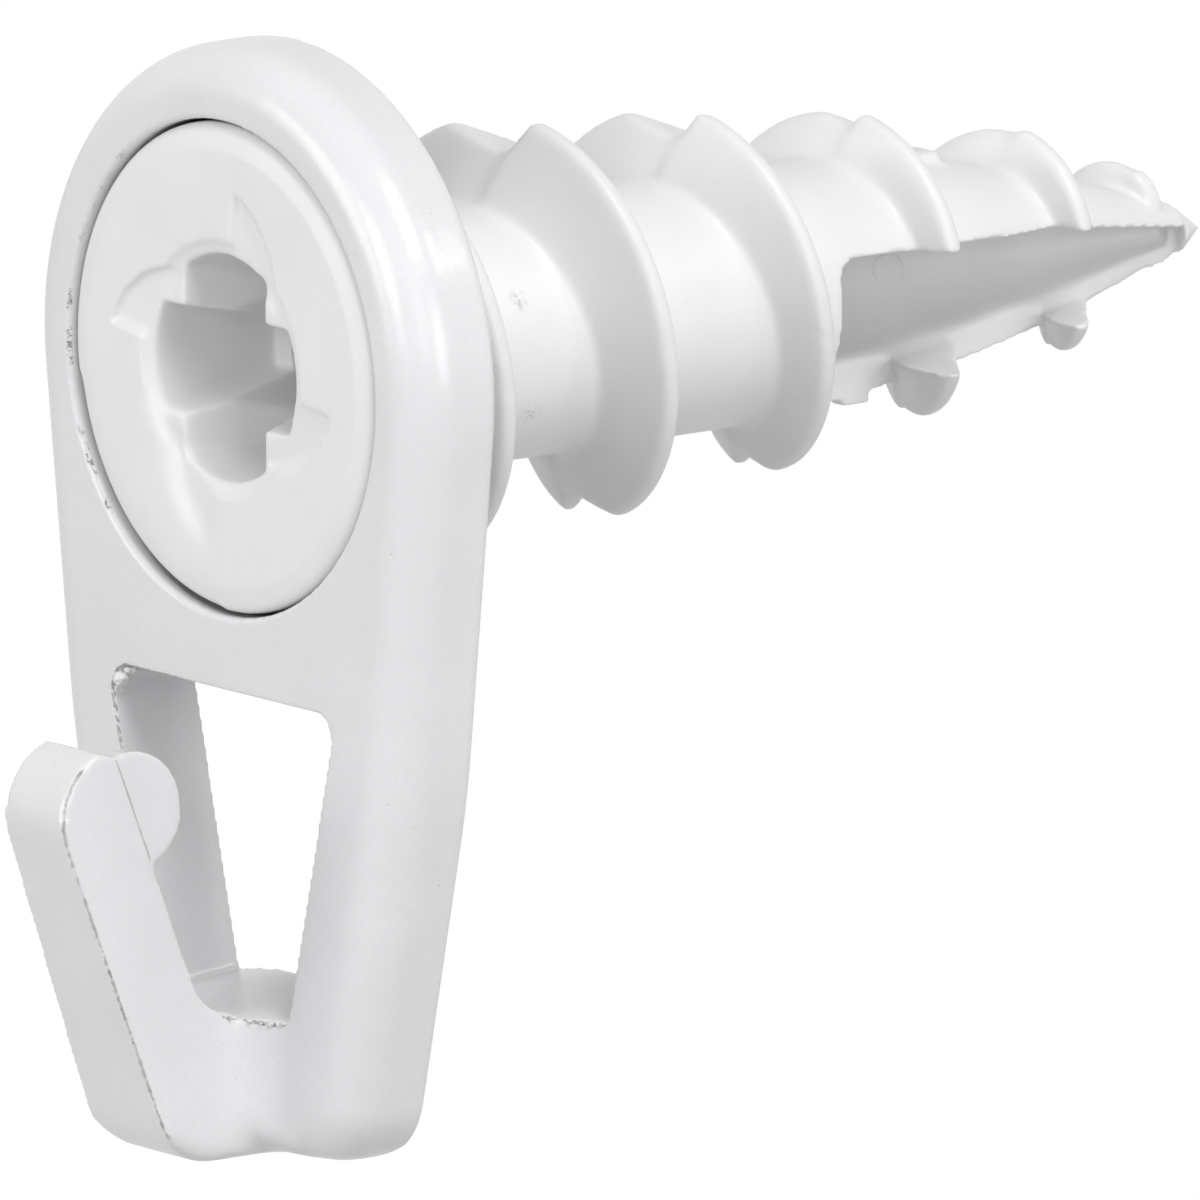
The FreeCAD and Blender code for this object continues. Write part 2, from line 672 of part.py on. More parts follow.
def wall_anchor():
    shank = core().fuse([pad(TOP_PAD_START, TOP_PAD_END, 1), pad(BOTTOM_PAD_START, BOTTOM_PAD_END, -1)])
    shank = shank.cut(rim_cutter())
    flights = thread()
    notch = parting_notch()
    flights = flights.cut(notch)
    notch.rotate(CENTRE, AXIS, 180)
    flights = flights.cut(notch)
    flights = flights.cut(slot_cutter())
    anchor = shank.fuse(flights)
    anchor = anchor.cut(hollow())
    anchor = anchor.cut(recess_wings())
    anchor = anchor.cut(cylinder(MOUTH_STEP_RADIUS, FRONT_Y - OVERRUN, FRONT_Y + MOUTH_STEP_DEPTH))
    for number in range(RAMP_COUNT):
        anchor = anchor.cut(ramp(number))
    return anchor


if __name__ == "__main__":
    os.makedirs("parts", exist_ok=True)
    for name, maker in (("hook_body", hook_body), ("wall_anchor", wall_anchor)):
        shape = maker()
        print(name, shape.isValid(), round(shape.Volume, 2), len(shape.Solids), len(shape.Faces))
        shape.exportStep("parts/" + name + ".step")
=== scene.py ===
"""Picture hook on a self-drilling wall anchor.

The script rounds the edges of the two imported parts, gives them their finishes,
adds the flaws of the coating, and sets the light and the camera.
"""

import logging
import math
from dataclasses import dataclass, field
from enum import Enum
from typing import Any, Callable, Iterable, Sequence, Union

import bpy
from mathutils import Matrix, Vector


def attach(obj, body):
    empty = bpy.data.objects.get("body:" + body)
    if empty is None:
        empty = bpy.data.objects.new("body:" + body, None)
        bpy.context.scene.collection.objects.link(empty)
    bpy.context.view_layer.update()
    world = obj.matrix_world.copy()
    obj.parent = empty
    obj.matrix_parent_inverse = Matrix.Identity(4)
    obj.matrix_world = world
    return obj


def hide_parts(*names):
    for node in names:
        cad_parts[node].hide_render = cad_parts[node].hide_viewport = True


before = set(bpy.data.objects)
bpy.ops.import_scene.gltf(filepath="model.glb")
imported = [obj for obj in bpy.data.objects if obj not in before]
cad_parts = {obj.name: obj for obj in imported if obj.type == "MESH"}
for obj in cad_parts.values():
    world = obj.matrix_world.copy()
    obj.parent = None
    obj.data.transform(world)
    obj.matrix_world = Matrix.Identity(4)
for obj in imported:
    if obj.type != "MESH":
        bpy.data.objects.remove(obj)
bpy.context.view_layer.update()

LOG = logging.getLogger("picture_hook")
MM = 0.001
FRONT_Y = -3.3  # the plane of the plate's and the head's front, in millimetres
MERGE_DISTANCE = 1e-7
PHOTO_PIXELS = 1200

Number = Union[int, float]
Colour = tuple[float, float, float, float]
Place = tuple[float, float, float]


class Body(Enum):
    """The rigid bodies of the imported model."""

    ANCHOR = "anchor"
    HOOK = "hook"


class Part(Enum):
    """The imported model's nodes."""

    HOOK_BODY = "hook_body"
    WALL_ANCHOR = "wall_anchor"


class Slot(Enum):
    """The record's material slots, which also name the finishes."""

    COATED_CASTING = "coated_casting"
    MOULDED_NYLON = "moulded_nylon"


class ModifierKind(Enum):
    """Modifiers that finish the meshes."""

    DECIMATE = "DECIMATE"
    DISPLACE = "DISPLACE"
    REMESH = "REMESH"
    SMOOTH = "SMOOTH"


class NodeKind(Enum):
    """Shader nodes that the finishes use."""

    PRINCIPLED = "ShaderNodeBsdfPrincipled"
    OUTPUT = "ShaderNodeOutputMaterial"
    COORDINATES = "ShaderNodeTexCoord"
    NOISE = "ShaderNodeTexNoise"
    VORONOI = "ShaderNodeTexVoronoi"
    MATH = "ShaderNodeMath"
    VECTOR_MATH = "ShaderNodeVectorMath"
    SEPARATE = "ShaderNodeSeparateXYZ"
    RANGE = "ShaderNodeMapRange"
    MIX = "ShaderNodeMix"
    BUMP = "ShaderNodeBump"
    EMISSION = "ShaderNodeEmission"
    DIFFUSE = "ShaderNodeBsdfDiffuse"
    MIX_SHADER = "ShaderNodeMixShader"
    LIGHT_PATH = "ShaderNodeLightPath"
    BACKGROUND = "ShaderNodeBackground"
    WORLD_OUTPUT = "ShaderNodeOutputWorld"


class Wire:
    """One output socket that can be used in Python expressions."""

    def __init__(self, graph: "ShaderGraph", socket: Any) -> None:
        """Keeps the socket and its graph.

        Args:
            graph: The graph that the socket belongs to.
            socket: The node's output socket.
        """
        self.graph = graph
        self.socket = socket

    def _math(self, operation: str, first: Any, second: Any) -> "Wire":
        """A Math node on two values.

        Args:
            operation: The Math node's operation.
            first: Number or wire.
            second: Number or wire.

        Returns:
            The result's wire.
        """
        return self.graph.add(NodeKind.MATH, {"operation": operation}, {0: first, 1: second})[0]

    def __add__(self, other: Any) -> "Wire":
        """self + other."""
        return self._math("ADD", self, other)

    def __radd__(self, other: Any) -> "Wire":
        """other + self."""
        return self._math("ADD", other, self)

    def __sub__(self, other: Any) -> "Wire":
        """self - other."""
        return self._math("SUBTRACT", self, other)

    def __rsub__(self, other: Any) -> "Wire":
        """other - self."""
        return self._math("SUBTRACT", other, self)

    def __mul__(self, other: Any) -> "Wire":
        """self * other."""
        return self._math("MULTIPLY", self, other)

    def __rmul__(self, other: Any) -> "Wire":
        """other * self."""
        return self._math("MULTIPLY", other, self)

    def __truediv__(self, other: Any) -> "Wire":
        """self / other."""
        return self._math("DIVIDE", self, other)

    def __rtruediv__(self, other: Any) -> "Wire":
        """other / self."""
        return self._math("DIVIDE", other, self)

    def at_least(self, other: Any) -> "Wire":
        """The larger of the two."""
        return self._math("MAXIMUM", self, other)

    def at_most(self, other: Any) -> "Wire":
        """The smaller of the two."""
        return self._math("MINIMUM", self, other)

    def power(self, exponent: Any) -> "Wire":
        """self to a power."""
        return self._math("POWER", self, exponent)

    def ramp(self, start: Number, end: Number, low: Number = 0.0, high: Number = 1.0) -> "Wire":
        """Smooth step of self between two limits.

        Args:
            start: Value at which the result is low.
            end: Value at which the result is high.
            low: Result at the start.
            high: Result at the end.

        Returns:
            The smoothed value's wire.
        """
        settings = {"interpolation_type": "SMOOTHSTEP"}
        sockets = {"Value": self, "From Min": start, "From Max": end, "To Min": low, "To Max": high}
        return self.graph.add(NodeKind.RANGE, settings, sockets)[0]


class NodeOutputs:
    """The outputs of one node, by index or name."""

    def __init__(self, graph: "ShaderGraph", node: Any) -> None:
        """Keeps the node.

        Args:
            graph: The graph that the node belongs to.
            node: The shader node.
        """
        self.graph = graph
        self.node = node

    def __getitem__(self, key: Union[int, str]) -> Wire:
        """The output of that index or name."""
        return Wire(self.graph, self.node.outputs[key])


class ShaderGraph:
    """A material's or the world's node tree under construction."""

    def __init__(self, owner: Any) -> None:
        """Empties the owner's node tree.

        Args:
            owner: The material or world.
        """
        owner.use_nodes = True
        self.tree = owner.node_tree
        self.tree.nodes.clear()

    def add(
        self, kind: NodeKind, settings: dict[str, Any], sockets: dict[Union[int, str], Any]
    ) -> NodeOutputs:
        """Adds one node.

        Args:
            kind: The node's type.
            settings: The node's own settings, set first.
            sockets: Values or wires for its inputs, by index or name.

        Returns:
            The node's outputs.
        """
        node = self.tree.nodes.new(kind.value)
        for name, value in settings.items():
            setattr(node, name, value)
        for key, value in sockets.items():
            if isinstance(value, Wire):
                self.tree.links.new(value.socket, node.inputs[key])
            else:
                node.inputs[key].default_value = value
        return NodeOutputs(self, node)

    def position(self) -> Wire:
        """The point's place in the object's own coordinates, in metres."""
        return self.add(NodeKind.COORDINATES, {}, {})["Object"]

    def noise(self, where: Wire, per_metre: Number, detail: Number, rough: Number = 0.5) -> Wire:
        """Fractal noise between 0 and 1.

        Args:
            where: Position wire.
            per_metre: Number of waves in one metre.
            detail: Octaves.
            rough: How strong the finer octaves are.

        Returns:
            The noise value's wire.
        """
        sockets = {"Vector": where, "Scale": per_metre, "Detail": detail, "Roughness": rough}
        return self.add(NodeKind.NOISE, {"noise_dimensions": "3D"}, sockets)["Fac"]

    def specks(self, where: Wire, per_metre: Number) -> Wire:
        """Distance to the nearest of many scattered points, in cells.

        Args:
            where: Position wire.
            per_metre: Number of cells in one metre.

        Returns:
            The distance's wire.
        """
        sockets = {"Vector": where, "Scale": per_metre}
        return self.add(NodeKind.VORONOI, {"feature": "F1"}, sockets)["Distance"]

    def axes(self, where: Wire) -> tuple[Wire, Wire, Wire]:
        """The three coordinates of a position.

        Args:
            where: Position wire.

        Returns:
            Wires for X, Y and Z.
        """
        parts = self.add(NodeKind.SEPARATE, {}, {"Vector": where})
        return parts[0], parts[1], parts[2]

    def colour_mix(self, share: Any, first: Any, second: Any) -> Wire:
        """Blend of two colours.

        Args:
            share: Share of the second colour.
            first: Colour or wire.
            second: Colour or wire.

        Returns:
            The blended colour's wire.
        """
        sockets = {0: share, 6: first, 7: second}
        return self.add(NodeKind.MIX, {"data_type": "RGBA"}, sockets)[2]

    def vector(self, operation: str, first: Any, second: Any) -> NodeOutputs:
        """A Vector Math node.

        Args:
            operation: The node's operation.
            first: First vector or wire.
            second: Second vector or wire.

        Returns:
            The node's outputs.
        """
        return self.add(NodeKind.VECTOR_MATH, {"operation": operation}, {0: first, 1: second})

    def spot_distance(self, where: Wire, centre: Vector) -> Wire:
        """Distance from a point.

        Args:
            where: Position wire.
            centre: The point, in metres.

        Returns:
            The distance's wire, in metres.
        """
        return self.vector("DISTANCE", where, tuple(centre))["Value"]

    def path_distance(self, where: Wire, points: Sequence[Vector]) -> Wire:
        """Distance from a path of straight stretches.

        Args:
            where: Position wire.
            points: The path's corners, in metres.

        Returns:
            The distance's wire, in metres.
        """
        nearest = self.spot_distance(where, points[0])
        for start, end in zip(points, points[1:]):
            span = end - start
            offset = self.vector("SUBTRACT", where, tuple(start))[0]
            along = self.vector("DOT_PRODUCT", offset, tuple(span / span.length_squared))["Value"]
            share = along.at_least(0.0).at_most(1.0)
            sockets = {0: tuple(span), "Scale": share}
            foot = self.add(NodeKind.VECTOR_MATH, {"operation": "SCALE"}, sockets)[0]
            nearest = nearest.at_most(self.vector("DISTANCE", offset, foot)["Value"])
        return nearest

    def bump(self, height: Wire, depth: Number, strength: Number, normal: Any = None) -> Wire:
        """Bump from a height between 0 and 1.

        Args:
            height: Height wire.
            depth: Real depth of the full height, in metres.
            strength: Strength of the effect.
            normal: Wire of an earlier bump's normal, if any.

        Returns:
            The normal's wire.
        """
        sockets: dict[Union[int, str], Any] = {
            "Height": height,
            "Distance": depth,
            "Strength": strength,
        }
        if normal is not None:
            sockets["Normal"] = normal
        return self.add(NodeKind.BUMP, {}, sockets)["Normal"]

    def surface(self, shader: Wire) -> None:
        """Connects the shader to the output."""
        self.add(NodeKind.OUTPUT, {}, {"Surface": shader})


@dataclass(frozen=True)
class ArmEdge:
    """The line where the arm's front meets its side, in millimetres, from tip to heel."""

    top_y: float = -8.64
    top_z: float = -11.6
    lean: float = 20.0
    half_width: float = 1.46
    widening: float = 0.0432
    round_setback: float = 0.6
    round_drop: float = 2.0
    round_radius: float = 2.27
    round_start: float = 72.0
    round_steps: int = 4
    heel_rises: tuple[tuple[float, float], ...] = ((2.87, -12.1), (2.45, -13.3), (1.6, -14.1))
    nub_rises: tuple[float, float] = (-0.15, -3.75)

    def point(self, setback: float, rise: float) -> Vector:
        """A point of the arm's side plane.

        Args:
            setback: Distance towards the arm's front.
            rise: Distance up the arm's lean.

        Returns:
            The point, in metres.
        """
        lean = math.radians(self.lean)
        y = self.top_y - setback * math.cos(lean) - rise * math.sin(lean)
        z = self.top_z - setback * math.sin(lean) + rise * math.cos(lean)
        x = self.half_width + (self.top_z - z) * self.widening
        return Vector((x, y, z)) * MM

    def front(self) -> list[Vector]:
        """The front edge, round the tip and down to the heel.

        Returns:
            The edge's points, in metres.
        """
        points = []
        for step in range(self.round_steps + 1):
            turn = math.radians(self.round_start * (1.0 - step / self.round_steps))
            setback = self.round_setback + self.round_radius * math.cos(turn)
            rise = self.round_radius * math.sin(turn) - self.round_drop
            points.append(self.point(setback, rise))
        return points + [self.point(setback, rise) for setback, rise in self.heel_rises]

    def back(self) -> list[Vector]:
        """The edge between the arm's side and the nub.

        Returns:
            The edge's points, in metres.
        """
        return [self.point(0.0, rise) for rise in self.nub_rises]


def millimetres(points: Sequence[Sequence[float]]) -> list[Vector]:
    """Points given in millimetres as vectors in metres."""
    return [Vector(point) * MM for point in points]


@dataclass(frozen=True)
class CoatedCasting:
    """Gloss white coating over a die casting, with specks, a worn edge, crumbly spots and painted
    shade in creases, among crumbs and deep in the gap round the head.
    """

    colour: Colour = (0.74, 0.74, 0.755, 1.0)
    speck_colour: Colour = (0.42, 0.42, 0.43, 1.0)
    # Dark colour of the worn coating and crumbs, also of the painted shade in creases, among crumbs
    # and in the gap.
    wear_and_shade_colour: Colour = (0.16, 0.16, 0.165, 1.0)
    roughness: float = 0.22
    refraction: float = 1.48
    speck_cells: float = 1500.0
    cloud_waves: float = 190.0
    ripple_waves: float = 420.0
    ripple_depth: float = 0.06
    grain_waves: float = 5200.0
    grain_depth: float = 0.01
    crumb_waves: float = 7000.0
    patch_waves: float = 900.0
    wear_and_shade_width: float = 0.085
    worn_depth: float = 0.04
    line_strength: float = 0.7
    nub_line_width: float = 0.45
    nub_line_strength: float = 0.6
    seat_radius: float = 8.04
    # Depths and sides of the painted shade deep in the gap round the head.
    gap_shade_depths: tuple[float, float] = (0.35, 0.5)
    gap_shade_sides: tuple[float, float] = (-5.5, -2.5)
    lip_width: float = 0.14
    lip_depth: float = 0.2
    lip_sides: tuple[float, float] = (-4.5, -6.0)
    lip_strength: float = 0.8
    window_edge: tuple[Place, ...] = (
        (-5.32, FRONT_Y, -13.1),
        (-5.8, FRONT_Y, -11.2),
        (-5.55, FRONT_Y, -10.6),
        (-5.1, FRONT_Y, -10.4),
        (-2.4, FRONT_Y, -10.4),
    )
    seat_edge: tuple[Place, ...] = (
        (1.9, -4.7, -20.55),
        (2.2, -3.95, -20.73),
        (2.75, -3.5, -20.82),
        (3.3, -3.32, -20.8),
    )

    def make(self) -> bpy.types.Material:
        """Builds the coating's material.

        Returns:
            The new material.
        """
        material = bpy.data.materials.new(Slot.COATED_CASTING.value)
        graph = ShaderGraph(material)
        where = graph.position()
        cloud = graph.noise(where, self.cloud_waves, 3.0)
        ripple = graph.noise(where, self.ripple_waves, 2.0)
        grain = graph.noise(where, self.grain_waves, 3.0, 0.6)
        crumb = graph.noise(where, self.crumb_waves, 2.0, 0.7)
        speck = graph.specks(where, self.speck_cells).ramp(0.10, 0.02)
        speck = speck * grain.ramp(0.52, 0.66)
        dull, bright = shaded(self.colour, 0.975), shaded(self.colour, 1.02)
        tone = graph.colour_mix(cloud.ramp(0.35, 0.7), dull, bright)
        tone = graph.colour_mix(grain.ramp(0.35, 0.75) * 0.35, tone, shaded(self.colour, 0.93))
        tone = graph.colour_mix(speck * 0.6, tone, self.speck_colour)
        patch = graph.noise(where, self.patch_waves, 2.0)
        # Worn coating and lip crumbs, with painted shade among crumbs, in the nub's crease and deep
        # in the gap round the head.
        lines = self.wear_and_shade_lines(graph, where, crumb, patch)
        wear_and_painted_shade = lines.at_least(self.gap_shade_and_lip_crumbs(graph, where, crumb, patch))
        soft = graph.bump(ripple, self.ripple_depth * MM, 0.5)
        fine = graph.bump(grain, self.grain_depth * MM, 0.55, soft)
        sockets = {
            "Base Color": graph.colour_mix(wear_and_painted_shade, tone, self.wear_and_shade_colour),
            "Roughness": grain * 0.14 + wear_and_painted_shade * 0.4 + (self.roughness - 0.07),
            "Normal": graph.bump(1.0 - wear_and_painted_shade, self.worn_depth * MM, 0.6, fine),
            "IOR": self.refraction,
        }
        graph.surface(graph.add(NodeKind.PRINCIPLED, {}, sockets)[0])
        return material

    def wear_and_shade_lines(self, graph: ShaderGraph, where: Wire, crumb: Wire, patch: Wire) -> Wire:
        """Dark crumbly lines: worn coating along the arm's front edge, painted shade among the
        crumbs at the window's corner and the seat's edge, and painted shade in the crease at the
        nub.

        Args:
            graph: The material's graph.
            where: Position wire.
            crumb: Fine noise wire that breaks the lines up.
            patch: Coarse noise wire that makes them fainter and stronger.

        Returns:
            Wire of the worn coating and the painted shade, from 0 to 1.
        """
        edge = ArmEdge()
        wide = (crumb * 0.9 + 0.5) * (self.wear_and_shade_width * MM)
        front = (wide / graph.path_distance(where, edge.front())).ramp(0.7, 1.3)
        # The window, seat and nub lines are painted shade; the front line above is worn coating.
        window = (wide / graph.path_distance(where, millimetres(self.window_edge))).ramp(0.9, 1.3)
        seat = (wide / graph.path_distance(where, millimetres(self.seat_edge))).ramp(1.0, 1.6)
        nub = (self.nub_line_width * wide / graph.path_distance(where, edge.back())).ramp(0.6, 1.0)
        broken = crumb.ramp(0.42, 0.56)
        depth = patch.ramp(0.4, 0.65, 0.45, 0.85)
        lines = (front * depth).at_least(window * broken * self.line_strength)
        lines = lines.at_least(seat * broken * self.line_strength)
        return lines.at_least(nub * self.nub_line_strength)

    def gap_shade_and_lip_crumbs(self, graph: ShaderGraph, where: Wire, crumb: Wire, patch: Wire) -> Wire:
        """Painted shade deep in the gap round the anchor's head, darker towards the right, and
        crumbs on its lip.

        Args:
            graph: The material's graph.
            where: Position wire.
            crumb: Fine noise wire.
            patch: Coarse noise wire that gathers the crumbs in places.

        Returns:
            Wire of the painted shade and the crumbs, from 0 to 1.
        """
        x, y, z = graph.axes(where)
        radius = (x * x + z * z).power(0.5)
        inside = radius.ramp((self.seat_radius + 0.05) * MM, self.seat_radius * MM)
        # Painted shade deep in the gap, darker towards the right.
        start, end = self.gap_shade_depths
        deep = y.ramp((FRONT_Y + start) * MM, (FRONT_Y + end) * MM)
        near, far = self.gap_shade_sides
        shade_side_weight = x.ramp(near * MM, far * MM) * 0.5 + 0.15
        outer = self.seat_radius + self.lip_width
        lip = radius.ramp(outer * MM, (outer - 0.08) * MM)
        shallow = y.ramp((FRONT_Y + self.lip_depth) * MM, (FRONT_Y + self.lip_depth / 2) * MM)
        first, last = self.lip_sides
        left = x.ramp(first * MM, last * MM) * crumb.ramp(0.48, 0.56) * patch.ramp(0.5, 0.58)
        return (inside * deep * shade_side_weight).at_least(lip * shallow * left * self.lip_strength)


@dataclass(frozen=True)
class MouldedNylon:
    """Satin white moulding with faint flow clouds, scuffs, a gate mark and painted shade deep in
    the gap round the head.
    """

    colour: Colour = (0.78, 0.78, 0.78, 1.0)
    scuff_colour: Colour = (0.45, 0.45, 0.45, 1.0)
    # Dark colour of the painted shade deep in the gap round the head.
    gap_shade_colour: Colour = (0.2, 0.2, 0.2, 1.0)
    roughness: float = 0.42
    refraction: float = 1.5
    flow_waves: float = 300.0
    flow_depth: float = 0.05
    grain_waves: float = 4200.0
    grain_depth: float = 0.008
    scratch_waves: float = 1800.0
    scuff_waves: float = 6500.0
    scuff_depth: float = 0.03
    scuffs: tuple[Place, ...] = ((3.86, 5.79, 1.73), (3.7, 6.3, -2.05))
    scuff_radius: float = 0.5
    gate_centre: Place = (-2.22, 25.55, -0.45)
    gate_radius: float = 0.55
    gate_depth: float = 0.06
    gate_line: float = 0.06
    head_radius: float = 7.9
    # Depths and sides of that painted shade.
    gap_shade_depths: tuple[float, float] = (0.35, 0.5)
    gap_shade_sides: tuple[float, float] = (-5.5, -2.5)

    def make(self) -> bpy.types.Material:
        """Builds the moulding's material.

        Returns:
            The new material.
        """
        material = bpy.data.materials.new(Slot.MOULDED_NYLON.value)
        graph = ShaderGraph(material)
        where = graph.position()
        flow = graph.noise(where, self.flow_waves, 3.0, 0.45)
        grain = graph.noise(where, self.grain_waves, 2.0, 0.6)
        scratch = graph.noise(where, self.scratch_waves, 4.0, 0.65).ramp(0.6, 0.72)
        dull, bright = shaded(self.colour, 0.98), shaded(self.colour, 1.015)
        tone = graph.colour_mix(flow.ramp(0.3, 0.75), dull, bright)
        tone = graph.colour_mix(scratch * 0.18, tone, shaded(self.colour, 0.86))
        scuff = self.scuff_marks(graph, where)
        tone = graph.colour_mix(scuff * 0.55, tone, self.scuff_colour)
        soft = graph.bump(flow, self.flow_depth * MM, 0.5)
        fine = graph.bump(grain, self.grain_depth * MM, 0.5, soft)
        scuffed = graph.bump(1.0 - scuff, self.scuff_depth * MM, 0.6, fine)
        gate = graph.spot_distance(where, Vector(self.gate_centre) * MM)
        outer, inner = self.gate_radius + self.gate_line, self.gate_radius - self.gate_line
        disc = gate.ramp(outer * MM, inner * MM)
        # Painted shade on the head's side deep in the gap.
        painted_gap_shade = self.gap_painted_shade(graph, where) * 0.7
        sockets = {
            "Base Color": graph.colour_mix(painted_gap_shade, tone, self.gap_shade_colour),
            "Roughness": grain * 0.12 + scratch * 0.12 + (self.roughness - 0.08),
            "Normal": graph.bump(disc, self.gate_depth * MM, 0.7, scuffed),
            "IOR": self.refraction,
        }
        graph.surface(graph.add(NodeKind.PRINCIPLED, {}, sockets)[0])
        return material

    def scuff_marks(self, graph: ShaderGraph, where: Wire) -> Wire:
        """Small crumbly scuffs on the shank.

        Args:
            graph: The material's graph.
            where: Position wire.

        Returns:
            Wire of the scuffs, from 0 to 1.
        """
        marks = graph.spot_distance(where, Vector(self.scuffs[0]) * MM)
        for place in self.scuffs[1:]:
            marks = marks.at_most(graph.spot_distance(where, Vector(place) * MM))
        near = marks.ramp(self.scuff_radius * MM, self.scuff_radius * 0.3 * MM)
        return near * graph.noise(where, self.scuff_waves, 3.0, 0.7).ramp(0.52, 0.6)

    def gap_painted_shade(self, graph: ShaderGraph, where: Wire) -> Wire:
        """Painted shade on the head's side, deep in the gap round it, darker towards the right.

        Args:
            graph: The material's graph.
            where: Position wire.

        Returns:
            Wire of the painted shade, from 0 to 1.
        """
        x, y, z = graph.axes(where)
        radius = (x * x + z * z).power(0.5)
        side = radius.ramp((self.head_radius - 0.12) * MM, (self.head_radius - 0.04) * MM)
        near, far = self.gap_shade_sides
        shade_side_weight = x.ramp(near * MM, far * MM) * 0.7 + 0.15
        start, end = self.gap_shade_depths
        return side * shade_side_weight * y.ramp((FRONT_Y + start) * MM, (FRONT_Y + end) * MM)


def shaded(colour: Colour, factor: float) -> Colour:
    """A colour made lighter or darker.

    Args:
        colour: Red, green, blue and alpha.
        factor: Multiplier of the colour.

    Returns:
        The new colour.
    """
    red, green, blue, alpha = colour
    return red * factor, green * factor, blue * factor, alpha


@dataclass(frozen=True)
class StudioWhite:
    """Pale surround that the camera and reflections see as white."""

    name: str = "studio_white"
    colour: Colour = (0.55, 0.55, 0.55, 1.0)
    seen: Colour = (1.0, 1.0, 1.0, 1.0)
    mirrored_share: float = 0.72

    def make(self) -> bpy.types.Material:
        """Builds the floor's material.

        Returns:
            The new material.
        """
        material = bpy.data.materials.new(self.name)
        graph = ShaderGraph(material)
        path = graph.add(NodeKind.LIGHT_PATH, {}, {})
        mirrored = path["Is Glossy Ray"].at_least(path["Is Transmission Ray"])
        direct = path["Is Camera Ray"].at_least(mirrored * self.mirrored_share)
        lit = graph.add(NodeKind.DIFFUSE, {}, {"Color": self.colour})[0]
        glow = graph.add(NodeKind.EMISSION, {}, {"Color": self.seen, "Strength": 1.0})[0]
        graph.surface(graph.add(NodeKind.MIX_SHADER, {}, {0: direct, 1: lit, 2: glow})[0])
        return material


def select_only(objects: Iterable[bpy.types.Object]) -> None:
    """Selects these objects and nothing else.

    Args:
        objects: The objects to select; the last becomes active.
    """
    bpy.ops.object.select_all(action="DESELECT")
    for item in objects:
        item.select_set(True)
        bpy.context.view_layer.objects.active = item


def apply_modifier(
    item: bpy.types.Object, name: str, kind: ModifierKind, settings: dict[str, Any]
) -> None:
    """Adds a modifier and applies it.

    Args:
        item: The object, already selected and active.
        name: The modifier's name.
        kind: The modifier's type.
        settings: The modifier's values.
    """
    modifier = item.modifiers.new(name, kind.value)
    for key, value in settings.items():
        setattr(modifier, key, value)
    bpy.ops.object.modifier_apply(modifier=modifier.name)


def step_down(value: float, start: float, end: float) -> float:
    """1 below the start, 0 above the end, and even between them."""
    return min(1.0, max(0.0, (end - value) / (end - start)))


def distance_from_axis(place: Vector) -> float:
    """Distance of a point from the anchor's axis."""
    return math.hypot(place.x, place.z)


def everywhere(place: Vector) -> float:
    """Full weight at every point."""
    return 1.0


@dataclass(frozen=True)
class Softening:
    """One zone of a skin that is smoothed.

    Attributes:
        name: What is softened.
        passes: Number of smoothing passes.
        share: Weight of a point given in millimetres.
    """

    name: str
    passes: int
    share: Callable[[Vector], float]


@dataclass
class Skin:
    """A moulded or coated surface: a CAD part's mesh with its edges rounded off."""

    node: Part
    name: str
    cell: float = 0.11
    most_triangles: int = 190000
    item: bpy.types.Object = field(init=False)

    def start(self) -> None:
        """Copies the CAD mesh, merges it and gives it small even faces."""
        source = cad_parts[self.node.value]
        self.item = bpy.data.objects.new(self.name, source.data.copy())
        bpy.context.scene.collection.objects.link(self.item)
        select_only([self.item])
        bpy.ops.object.mode_set(mode="EDIT")
        bpy.ops.mesh.select_all(action="SELECT")
        bpy.ops.mesh.remove_doubles(threshold=MERGE_DISTANCE)
        bpy.ops.object.mode_set(mode="OBJECT")
        settings = {"mode": "VOXEL", "voxel_size": self.cell * MM}
        apply_modifier(self.item, "even_faces", ModifierKind.REMESH, settings)

    def mark(self, name: str, share: Callable[[Vector], float]) -> str:
        """Marks part of the skin as a vertex group.

        Args:
            name: The group's name.
            share: Weight of a point given in millimetres.

        Returns:
            The group's name.
        """
        group = self.item.vertex_groups.new(name=name)
        for vertex in self.item.data.vertices:
            weight = share(vertex.co / MM)
            if weight > 0.0:
                group.add([vertex.index], weight, "REPLACE")
        return group.name

    def soften(self, zones: Iterable[Softening]) -> None:
        """Rounds the edges in each zone, one after the other.

        Args:
            zones: The zones in order.
        """
        for zone in zones:
            group = self.mark(zone.name, zone.share)
            settings = {"factor": 0.5, "iterations": zone.passes, "vertex_group": group}
            apply_modifier(self.item, zone.name, ModifierKind.SMOOTH, settings)

    def finish(self, finish: bpy.types.Material, body: Body, slot: Slot) -> None:
        """Thins the faces, smooths the shading and puts the skin in place of the CAD part.

        Args:
            finish: The skin's material.
            body: The body that it rides on.
            slot: The record's material slot; not used.
        """
        ratio = self.most_triangles / (2 * len(self.item.data.polygons))
        if ratio < 1.0:
            apply_modifier(self.item, "fewer_faces", ModifierKind.DECIMATE, {"ratio": ratio})
        self.item.vertex_groups.clear()
        bpy.ops.object.shade_smooth()
        self.item.data.materials.clear()
        self.item.data.materials.append(finish)
        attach(self.item, body.value)
        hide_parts(self.node.value)
        LOG.info("made %s with %d faces", self.item.name, len(self.item.data.polygons))


@dataclass(frozen=True)
class Crumb:
    """One lump of loose coating, in millimetres."""

    centre: Place
    size: Place


